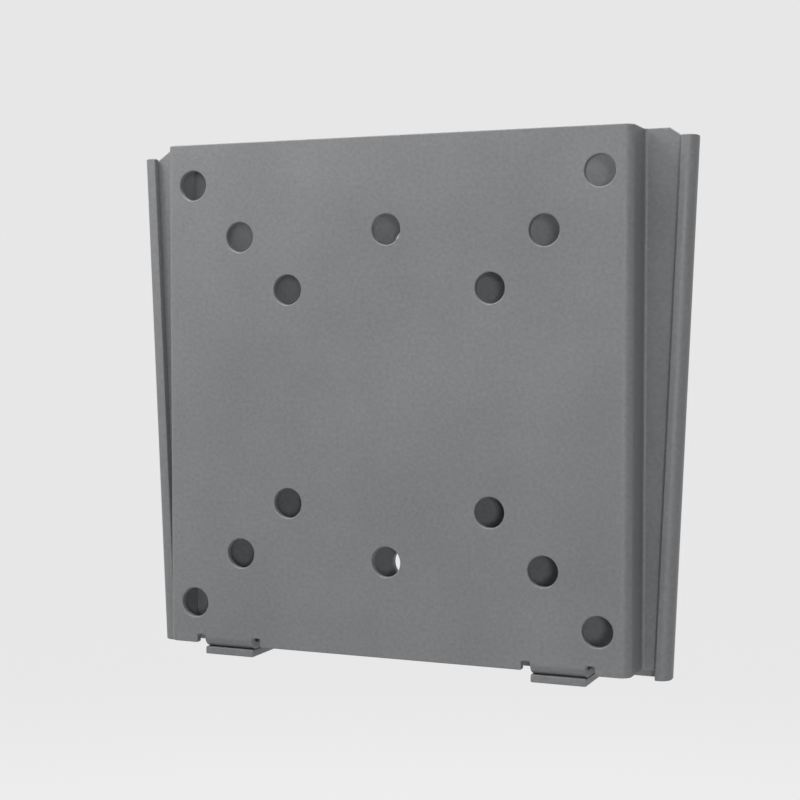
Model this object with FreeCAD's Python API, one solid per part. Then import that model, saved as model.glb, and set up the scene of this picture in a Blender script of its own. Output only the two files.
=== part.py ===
"""Fixed drop-in wall mount for a small flat screen, in millimetres.

Two plates folded from the same steel sheet. The wall plate lies flat on the wall, and its two sides are
folded forward and in again, so that they form a pair of channels that draw together towards the bottom.
The screen plate is a shallow hat with flanges of the same taper, which drop into the channels from above
until its two bottom tabs land on the two tabs of the wall plate.

Frame: the wall is the plane y = 0 and +Y points into it, +Z is up, and the origin is level with the
middle of the screen plate's hole grid.
"""
import FreeCAD
import Part
import math
import os

from FreeCAD import Placement, Rotation, Vector

# Sheet and folds, the same for both plates
SHEET = 1.8
BEND_RADIUS = 0.7

# Screen holes: square grids, the largest first, and a pair on the centre line
SCREEN_PITCHES = (100.0, 75.0, 50.0)
SCREEN_HOLE = 7.0
UPPER_CENTRE_HOLE = 38.5
LOWER_CENTRE_HOLE = 37.5

# Screen plate: margins round the largest grid, side walls, and a lead-in on the flanges' top corners
MARGIN_ACROSS = 7.25
MARGIN_UP = 9.75
SIDE_DEPTH = 10.6
LEAD_IN_WIDTH = 4.2
LEAD_IN_DROP = 2.8

# Wall plate: its side beyond the screen plate's side wall at the bottom, and how much that grows by the top
CHANNEL_REACH = 6.75
CHANNEL_SPREAD = 5.0
LIP_WIDTH = 3.4

# Sliding fit of the flanges in the channels
FACE_PLAY = 0.25
SIDE_PLAY = 0.4

# Tabs at the bottom of both plates, with a relief slot on each side of every fold
TAB_PITCH = 82.0
TAB_WIDTH = 12.8
TAB_DROP = 0.85
TAB_SETBACK = 0.5
TAB_END_PLAY = 0.5
RELIEF_WIDTH = 2.0
RELIEF_MARGIN = 0.4
LOCK_HOLE = 5.0

# Wall holes: a rectangle for four anchors, and a pair on the centre line for a single stud
WALL_HOLE = 7.0
ANCHOR_PITCH_ACROSS = 50.0
ANCHOR_PITCH_UP = 92.0
STUD_PITCH = 75.0

# Outlines of the two plates, which are equally tall
PANEL_WIDTH = max(SCREEN_PITCHES) + 2 * MARGIN_ACROSS
PLATE_HEIGHT = max(SCREEN_PITCHES) + 2 * MARGIN_UP
BOTTOM_WIDTH = PANEL_WIDTH + 2 * CHANNEL_REACH
WIDENING = CHANNEL_SPREAD / PLATE_HEIGHT
TAPER = math.atan(WIDENING)

# Depths, from the wall forward to the front panel
OUTER_BEND = BEND_RADIUS + SHEET
BASE_FRONT = -SHEET
FLANGE_FRONT = BASE_FRONT - FACE_PLAY - SHEET
LIP_FRONT = FLANGE_FRONT - FACE_PLAY - SHEET
PANEL_FRONT = FLANGE_FRONT - SIDE_DEPTH

# Heights: the screen plate's tabs stand on the wall plate's tabs, so it sits one sheet higher
SCREEN_TOP = PLATE_HEIGHT / 2
SCREEN_BOTTOM = -PLATE_HEIGHT / 2
TAB_SEAT = SCREEN_BOTTOM - TAB_DROP
WALL_TAB_UNDERSIDE = TAB_SEAT - SHEET
WALL_BOTTOM = WALL_TAB_UNDERSIDE + TAB_DROP
WALL_TOP = WALL_BOTTOM + PLATE_HEIGHT
WALL_MIDDLE = (WALL_BOTTOM + WALL_TOP) / 2

# Tabs and their lock holes, front to back
SCREEN_TAB_END = BASE_FRONT - BEND_RADIUS - TAB_END_PLAY
WALL_TAB_END = PANEL_FRONT + TAB_SETBACK
LOCK_DEPTH = (PANEL_FRONT + OUTER_BEND + SCREEN_TAB_END) / 2

# How a shape drawn in XY is stood up, to be pulled from top to bottom, front to back or side to side
UPRIGHT = Rotation()
FROM_FRONT = Rotation(Vector(1, 0, 0), 90)
FROM_SIDE = Rotation(Vector(0, 1, 0), Vector(0, 0, 1), Vector(1, 0, 0), "XYZ")
ALONG_CHANNEL = Rotation(Vector(0, 1, 0), math.degrees(TAPER))


def rounded_face(corners):
    """Face inside a closed outline of (u, v, radius) corners, drawn in XY."""
    rounds = []
    for index, (u, v, radius) in enumerate(corners):
        corner = Vector(u, v, 0)
        before = (Vector(*corners[index - 1][:2]) - corner).normalize()
        after = (Vector(*corners[(index + 1) % len(corners)][:2]) - corner).normalize()
        half_angle = before.getAngle(after) / 2
        reach = radius / math.tan(half_angle)
        inward = (before + after).normalize()
        middle = corner + inward * (radius / math.sin(half_angle) - radius)
        rounds.append((corner + before * reach, middle, corner + after * reach))
    edges = []
    for (start, middle, end), (next_start, _, _) in zip(rounds, rounds[1:] + rounds[:1]):
        if not start.isEqual(end, 1e-6):
            edges.append(Part.Arc(start, middle, end).toShape())
        if not end.isEqual(next_start, 1e-6):
            edges.append(Part.makeLine(end, next_start))
    return Part.Face(Part.Wire(edges))


def folded_section(path):
    """Section of the sheet folded along a path of (u, v) points, which its right-hand face follows."""
    points = [Vector(u, v, 0) for u, v in path]
    runs = [(end - start).normalize() for start, end in zip(points, points[1:])]
    sides = [Vector(-run.y, run.x, 0) for run in runs]
    near = [(*path[0], 0)]
    far = [points[0] + sides[0] * SHEET]
    far_radii = [0]
    for bend in range(1, len(runs)):
        turns_left = runs[bend - 1].cross(runs[bend]).z > 0
        side, next_side = sides[bend - 1], sides[bend]
        near.append((*path[bend], OUTER_BEND if turns_left else BEND_RADIUS))
        far.append(points[bend] + (side + next_side) * (SHEET / (1 + side.dot(next_side))))
        far_radii.append(BEND_RADIUS if turns_left else OUTER_BEND)
    near.append((*path[-1], 0))
    far.append(points[-1] + sides[-1] * SHEET)
    far_radii.append(0)
    other_face = [(point.x, point.y, radius) for point, radius in zip(far, far_radii)]
    return rounded_face(near + other_face[::-1])


def pull(face, length, rotation, base):
    """Solid pulled from a face drawn in XY, then stood up and moved to its place."""
    solid = face.extrude(Vector(0, 0, length))
    solid.Placement = Placement(base, rotation)
    return solid


def through_sheet(corners, front):
    """Solid one sheet thick with a front outline of (x, z, radius) corners, back from a depth."""
    return pull(rounded_face(corners), SHEET, FROM_FRONT, Vector(0, front + SHEET, 0))


def both_halves(right_half):
    """Whole outline from the (x, z) corners of its right half, listed upwards."""
    right = [(x, z, 0) for x, z in right_half]
    return right + [(-x, z, 0) for x, z, _ in right[::-1]]


def drill(plate, places, diameter, front):
    """Cut round holes at (x, z) places back through one sheet."""
    for x, z in places:
        plate = plate.cut(Part.makeCylinder(diameter / 2, SHEET, Vector(x, front, z), Vector(0, 1, 0)))
    return plate


def rectangle(pitch_across, pitch_up, middle):
    """The four (x, z) corners of a hole pattern on the centre line."""
    return [
        (across * pitch_across / 2, middle + up * pitch_up / 2)
        for across in (-1, 1)
        for up in (-1, 1)
    ]


def fold_tabs(plate, path, fold_height, front):
    """Fold two tabs out of a plate's bottom edge, each between relief slots and with a lock hole."""
    underside = fold_height - OUTER_BEND
    relief_top = fold_height + RELIEF_MARGIN
    section = folded_section(path)
    for side in (-1, 1):
        centre = side * TAB_PITCH / 2
        left, right = centre - TAB_WIDTH / 2, centre + TAB_WIDTH / 2
        below = [(left, underside), (right, underside), (right, fold_height), (left, fold_height)]
        plate = plate.cut(through_sheet([(x, z, 0) for x, z in below], front))
        plate = plate.fuse(pull(section, TAB_WIDTH, FROM_SIDE, Vector(left, 0, 0)))
        for slot_left in (left - RELIEF_WIDTH, right):
            slot = [
                (slot_left, underside, 0),
                (slot_left + RELIEF_WIDTH, underside, 0),
                (slot_left + RELIEF_WIDTH, relief_top, RELIEF_MARGIN),
                (slot_left, relief_top, RELIEF_MARGIN),
            ]
            plate = plate.cut(through_sheet(slot, front))
        plate = plate.cut(Part.makeCylinder(LOCK_HOLE / 2, SHEET, Vector(centre, LOCK_DEPTH, underside)))
    return plate


def half_width(height):
    """Half the width over the wall plate's folded sides at a height."""
    return BOTTOM_WIDTH / 2 + WIDENING * (height - WALL_BOTTOM)


def flange_edge(height):
    """How far out the screen plate's flange reaches into its channel at a height."""
    return half_width(height) - (SHEET + SIDE_PLAY) / math.cos(TAPER)


def make_screen_plate():
    """Hat-shaped plate that bolts to the back of the screen."""
    side, reach = PANEL_WIDTH / 2, flange_edge(SCREEN_TOP)
    hat = [
        (-reach, FLANGE_FRONT),
        (-side, FLANGE_FRONT),
        (-side, PANEL_FRONT),
        (side, PANEL_FRONT),
        (side, FLANGE_FRONT),
        (reach, FLANGE_FRONT),
    ]
    plate = pull(folded_section(hat), PLATE_HEIGHT, UPRIGHT, Vector(0, 0, SCREEN_BOTTOM))

    lead_in_foot = SCREEN_TOP - LEAD_IN_DROP
    outline = both_halves([
        (flange_edge(SCREEN_BOTTOM), SCREEN_BOTTOM),
        (flange_edge(lead_in_foot), lead_in_foot),
        (reach - LEAD_IN_WIDTH, SCREEN_TOP),
    ])
    plate_depth = SIDE_DEPTH + SHEET
    envelope = pull(rounded_face(outline), plate_depth, FROM_FRONT, Vector(0, PANEL_FRONT + plate_depth, 0))
    plate = plate.common(envelope)

    fold_height = TAB_SEAT + OUTER_BEND
    tab = [(PANEL_FRONT, fold_height), (PANEL_FRONT, TAB_SEAT), (SCREEN_TAB_END, TAB_SEAT)]
    plate = fold_tabs(plate, tab, fold_height, PANEL_FRONT)

    for pitch in SCREEN_PITCHES:
        plate = drill(plate, rectangle(pitch, pitch, 0), SCREEN_HOLE, PANEL_FRONT)
    plate = drill(plate, [(0, UPPER_CENTRE_HOLE), (0, -LOWER_CENTRE_HOLE)], SCREEN_HOLE, PANEL_FRONT)
    return plate.removeSplitter()


def make_wall_plate():
    """Plate that screws to the wall, with its sides folded into tapered channels."""
    to_fold = OUTER_BEND / math.cos(TAPER)
    base = through_sheet(
        both_halves([
            (half_width(WALL_BOTTOM) - to_fold, WALL_BOTTOM),
            (half_width(WALL_TOP) - to_fold, WALL_TOP),
        ]),
        BASE_FRONT,
    )

    # The channels lean with the taper, so they start long and are trimmed level with the base
    channel = [(-LIP_WIDTH, LIP_FRONT), (0, LIP_FRONT), (0, 0), (-OUTER_BEND, 0)]
    run_out = max(LIP_WIDTH, OUTER_BEND)
    channel_length = (PLATE_HEIGHT + 2 * run_out) / math.cos(TAPER)
    foot = WALL_BOTTOM - run_out
    right = pull(folded_section(channel), channel_length, ALONG_CHANNEL, Vector(half_width(foot), 0, foot))
    trim = Part.makeBox(2 * half_width(WALL_TOP), -LIP_FRONT, PLATE_HEIGHT, Vector(0, LIP_FRONT, WALL_BOTTOM))
    right = right.common(trim)
    plate = base.fuse([right, right.mirror(Vector(), Vector(1, 0, 0))])

    fold_height = WALL_TAB_UNDERSIDE + OUTER_BEND
    tab = [(WALL_TAB_END, WALL_TAB_UNDERSIDE), (0, WALL_TAB_UNDERSIDE), (0, fold_height)]
    plate = fold_tabs(plate, tab, fold_height, BASE_FRONT)

    plate = drill(plate, rectangle(ANCHOR_PITCH_ACROSS, ANCHOR_PITCH_UP, WALL_MIDDLE), WALL_HOLE, BASE_FRONT)
    stud_line = [(0, WALL_MIDDLE + up * STUD_PITCH / 2) for up in (-1, 1)]
    plate = drill(plate, stud_line, WALL_HOLE, BASE_FRONT)
    return plate.removeSplitter()


os.makedirs("parts", exist_ok=True)
make_screen_plate().exportStep("parts/screen_plate.step")
make_wall_plate().exportStep("parts/wall_plate.step")
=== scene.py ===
import math

import bpy
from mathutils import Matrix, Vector


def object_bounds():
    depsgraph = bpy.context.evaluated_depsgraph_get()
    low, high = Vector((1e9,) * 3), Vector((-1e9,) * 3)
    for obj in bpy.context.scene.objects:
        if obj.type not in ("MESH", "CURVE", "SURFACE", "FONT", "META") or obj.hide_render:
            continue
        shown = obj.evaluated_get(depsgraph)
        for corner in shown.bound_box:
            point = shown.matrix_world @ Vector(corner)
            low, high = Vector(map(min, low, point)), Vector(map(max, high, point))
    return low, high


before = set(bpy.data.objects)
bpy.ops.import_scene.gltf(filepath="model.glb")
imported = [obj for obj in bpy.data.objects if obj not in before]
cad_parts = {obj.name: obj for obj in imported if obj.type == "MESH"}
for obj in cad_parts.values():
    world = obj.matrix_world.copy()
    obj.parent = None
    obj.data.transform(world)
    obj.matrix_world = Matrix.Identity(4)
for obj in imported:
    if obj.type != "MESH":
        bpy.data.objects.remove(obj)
cad_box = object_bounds()


# Wall plate
# Steel sheet, punched flat and then folded: the sides turn forward and in again as two tapered channels, and
# two tabs turn forward under the bottom edge. It is powder coated all over, and screwed to the wall.

MM = 0.001


def linear(hex_colour):
    """Linear RGBA of an sRGB colour such as #7f8082."""
    channels = [int(hex_colour[start:start + 2], 16) / 255 for start in (1, 3, 5)]
    return [c / 12.92 if c <= 0.04045 else ((c + 0.055) / 1.055) ** 2.4 for c in channels] + [1.0]


def add(tree, kind, links=(), sockets=(), **settings):
    """Add a node with its settings, its socket values and the links into it."""
    node = tree.nodes.new(kind)
    for name, value in settings.items():
        setattr(node, name, value)
    for name, value in sockets:
        node.inputs[name].default_value = value
    for name, source in links:
        tree.links.new(source, node.inputs[name])
    return node


def powder_coat(name):
    """Grey polyester powder, sprayed dry on steel and baked.

    It melts to an even satin skin, which shows a soft sheen, a fine grain and a slight orange peel.
    """
    material = bpy.data.materials.new(name)
    material.use_nodes = True
    tree = material.node_tree
    tree.nodes.clear()
    place = add(tree, "ShaderNodeTexCoord").outputs["Object"]

    # Nearly all of a noise pattern lies between these two values
    noise_low = 0.3
    noise_high = 0.7

    # Drift in the coat's thickness, a few centimetres across: a breath of light and dark, and of gloss
    cloud_size = 28 * MM
    darkest_grey = linear("#7b7c7e")
    lightest_grey = linear("#838486")
    lowest_roughness = 0.44
    highest_roughness = 0.54
    cloud = add(
        tree, "ShaderNodeTexNoise", [("Vector", place)],
        [("Scale", 1 / cloud_size), ("Detail", 3.0), ("Roughness", 0.55)],
    )
    shade = add(tree, "ShaderNodeValToRGB", [("Fac", cloud.outputs["Fac"])])
    dark_stop, light_stop = shade.color_ramp.elements
    dark_stop.position = noise_low
    dark_stop.color = darkest_grey
    light_stop.position = noise_high
    light_stop.color = lightest_grey
    gloss = add(
        tree, "ShaderNodeMapRange", [("Value", cloud.outputs["Fac"])],
        [
            ("From Min", noise_low), ("From Max", noise_high),
            ("To Min", lowest_roughness), ("To Max", highest_roughness),
        ],
    )

    # Grain of the powder: the real one is about 0.3 mm, and it is drawn at 0.9 mm so that it shows
    grain_size = 0.9 * MM
    grain_height = 0.08 * MM
    grain_contrast = 0.09
    grain = add(
        tree, "ShaderNodeTexNoise", [("Vector", place)],
        [("Scale", 1 / grain_size), ("Detail", 2.0), ("Roughness", 0.6)],
    )
    speck = add(
        tree, "ShaderNodeMapRange", [("Value", grain.outputs["Fac"])],
        [
            ("From Min", noise_low), ("From Max", noise_high),
            ("To Min", 1 - grain_contrast), ("To Max", 1 + grain_contrast),
        ],
    )
    colour = add(
        tree, "ShaderNodeVectorMath",
        [(0, shade.outputs["Color"]), (1, speck.outputs["Result"])], operation="MULTIPLY",
    )

    # Orange peel: low swells about 2 mm apart, with the grain on top of them
    peel_size = 2.0 * MM
    peel_height = 0.02 * MM
    peel = add(
        tree, "ShaderNodeTexNoise", [("Vector", place)],
        [("Scale", 1 / peel_size), ("Detail", 1.0), ("Roughness", 0.4)],
    )
    swell = add(
        tree, "ShaderNodeBump", [("Height", peel.outputs["Fac"])],
        [("Strength", 0.35), ("Distance", peel_height)],
    )
    relief = add(
        tree, "ShaderNodeBump", [("Height", grain.outputs["Fac"]), ("Normal", swell.outputs["Normal"])],
        [("Strength", 0.7), ("Distance", grain_height)],
    )

    # The coat hides the steel, so it has polyester's IOR and nothing of the metal
    coat = add(
        tree, "ShaderNodeBsdfPrincipled",
        [
            ("Base Color", colour.outputs["Vector"]),
            ("Roughness", gloss.outputs["Result"]),
            ("Normal", relief.outputs["Normal"]),
        ],
        [("Metallic", 0.0), ("IOR", 1.5)],
    )
    add(tree, "ShaderNodeOutputMaterial", [("Surface", coat.outputs["BSDF"])])
    return material


def coat_edges(plate):
    """Round a plate's cut edges as the melted powder does, and keep its flat faces flat to the eye."""
    same_point = 0.001 * MM
    flat_within = math.radians(0.5)
    edge_rounding = 0.3 * MM
    cut_edge_turn = math.radians(40)

    weld = plate.modifiers.new("weld", "WELD")
    weld.merge_threshold = same_point
    flats = plate.modifiers.new("flats", "DECIMATE")
    flats.decimate_type = "DISSOLVE"
    flats.angle_limit = flat_within

    # Clamped, the plate's shortest edge would set the rounding of all the others, and sliding would skew it
    edges = plate.modifiers.new("edges", "BEVEL")
    edges.width = edge_rounding
    edges.segments = 3
    edges.limit_method = "ANGLE"
    edges.angle_limit = cut_edge_turn
    edges.use_clamp_overlap = False
    edges.loop_slide = False

    # A face counts by its size, so the large flat ones aren't shaded towards the rounding
    normals = plate.modifiers.new("normals", "WEIGHTED_NORMAL")
    normals.weight = 80
    normals.keep_sharp = False


grey_coat = powder_coat("grey_polyester_powder_coat_on_steel")
wall_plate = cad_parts["wall_plate"]
wall_plate.data.materials.clear()
wall_plate.data.materials.append(grey_coat)
coat_edges(wall_plate)


# Screen plate
# The same sheet, folded into a shallow hat with a hole grid in its front and a tapered flange on each side.
# The flanges hang in the wall plate's channels, and its two bottom tabs stand on the wall plate's tabs.

screen_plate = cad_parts["screen_plate"]
screen_plate.data.materials.clear()
screen_plate.data.materials.append(grey_coat)
coat_edges(screen_plate)


# Studio
# A pale paper floor well below the mount, a surround of the same tone, and four lamps: a soft key close at
# the upper left, a soft box overhead, a small fill beside the camera that reaches into the holes, and a
# large box behind for the wall side.

def background_ray(tree):
    """1 for a ray that sees the background, straight, mirrored or through glass, and 0 for light."""
    ray = add(tree, "ShaderNodeLightPath")
    direct = add(
        tree, "ShaderNodeMath",
        [(0, ray.outputs["Is Camera Ray"]), (1, ray.outputs["Is Glossy Ray"])], operation="MAXIMUM",
    )
    either = add(
        tree, "ShaderNodeMath",
        [(0, direct.outputs["Value"]), (1, ray.outputs["Is Transmission Ray"])], operation="MAXIMUM",
    )
    return either.outputs["Value"]


# Light of the room, where a level of 1 shows a matt colour as it is written, and the tones of the background
ambient_level = 0.2
white = linear("#ffffff")
paper_tone = linear("#e9e9e9")
background_tone = linear("#e7e7e7")

floor_drop = 0.35
floor_reach = 30.0
floor_level = cad_box[0].z - floor_drop
floor_corners = ((-1, -1), (1, -1), (1, 1), (-1, 1))
floor_mesh = bpy.data.meshes.new("studio_floor")
floor_mesh.from_pydata(
    [(x * floor_reach, y * floor_reach, floor_level) for x, y in floor_corners],
    [], [(0, 1, 2, 3)],
)
floor = bpy.data.objects.new("studio_floor", floor_mesh)
bpy.context.scene.collection.objects.link(floor)

# Matt paper: its own shading keeps the mount's shadow, and just so much even white over it that the far
# paper, lit by the room alone, has the tone of the surround and shows no horizon
paper = bpy.data.materials.new("matt_white_paper")
paper.use_nodes = True
paper_tree = paper.node_tree
paper_tree.nodes.clear()
far_paper = paper_tone[0] * ambient_level
even_share = (background_tone[0] - far_paper) / (1 - far_paper)
shaded = add(paper_tree, "ShaderNodeBsdfDiffuse", sockets=[("Color", paper_tone)])
even = add(paper_tree, "ShaderNodeEmission", sockets=[("Color", white), ("Strength", 1.0)])
share = add(
    paper_tree, "ShaderNodeMath", [(0, background_ray(paper_tree))], [(1, even_share)], operation="MULTIPLY",
)
sheet = add(paper_tree, "ShaderNodeMixShader", [
    ("Fac", share.outputs["Value"]), (1, shaded.outputs["BSDF"]), (2, even.outputs["Emission"]),
])
add(paper_tree, "ShaderNodeOutputMaterial", [("Surface", sheet.outputs["Shader"])])
floor_mesh.materials.append(paper)

world = bpy.data.worlds.new("studio")
bpy.context.scene.world = world
world.use_nodes = True
room = world.node_tree
room.nodes.clear()
ambient = add(room, "ShaderNodeBackground", sockets=[("Color", white), ("Strength", ambient_level)])
surround = add(room, "ShaderNodeBackground", sockets=[("Color", background_tone), ("Strength", 1.0)])
walls = add(room, "ShaderNodeMixShader", [
    ("Fac", background_ray(room)), (1, ambient.outputs["Background"]), (2, surround.outputs["Background"]),
])
add(room, "ShaderNodeOutputWorld", [("Surface", walls.outputs["Shader"])])


def soft_box(name, place, target, width, watts, colour):
    """Square area lamp that faces a point and stays out of the picture itself."""
    lamp = bpy.data.lights.new(name, "AREA")
    lamp.size = width
    lamp.energy = watts
    lamp.color = linear(colour)[:3]
    box = bpy.data.objects.new(name, lamp)
    box.location = place
    box.rotation_euler = (Vector(target) - Vector(place)).to_track_quat("-Z", "Y").to_euler()
    box.visible_camera = False
    bpy.context.scene.collection.objects.link(box)


wall_middle = (0.0, 0.0, 0.0)
panel_middle = (0.0, cad_box[0].y, 0.0)
soft_box("key", (-0.19, -0.14, 0.26), panel_middle, width=0.18, watts=0.70, colour="#fffefb")
soft_box("top", (0.0, -0.15, 0.60), panel_middle, width=0.30, watts=2.5, colour="#fffefb")
soft_box("fill", (0.45, -0.94, 0.05), panel_middle, width=0.12, watts=2.7, colour="#fcfdff")
soft_box("rim", (-0.30, 0.75, 0.60), wall_middle, width=0.80, watts=5.0, colour="#ffffff")


# Camera
# The photograph's own viewpoint, from a fit to the fourteen screen holes. The lens is longer than the one
# that took it, so that the mount fills the frame with the same perspective.

viewpoint = Vector((142.2, -348.85, 16.3)) * MM
look_at = Vector((3.55, -14.45, -0.21)) * MM
photo_lens = 22.43
enlargement = 3.2
camera_data = bpy.data.cameras.new("camera")
camera_data.sensor_width = 36.0
camera_data.lens = photo_lens * enlargement
camera = bpy.data.objects.new("camera", camera_data)
camera.location = viewpoint
camera.rotation_euler = (look_at - viewpoint).to_track_quat("-Z", "Y").to_euler()
bpy.context.scene.collection.objects.link(camera)
bpy.context.scene.camera = camera
bpy.context.scene.view_settings.view_transform = "Standard"
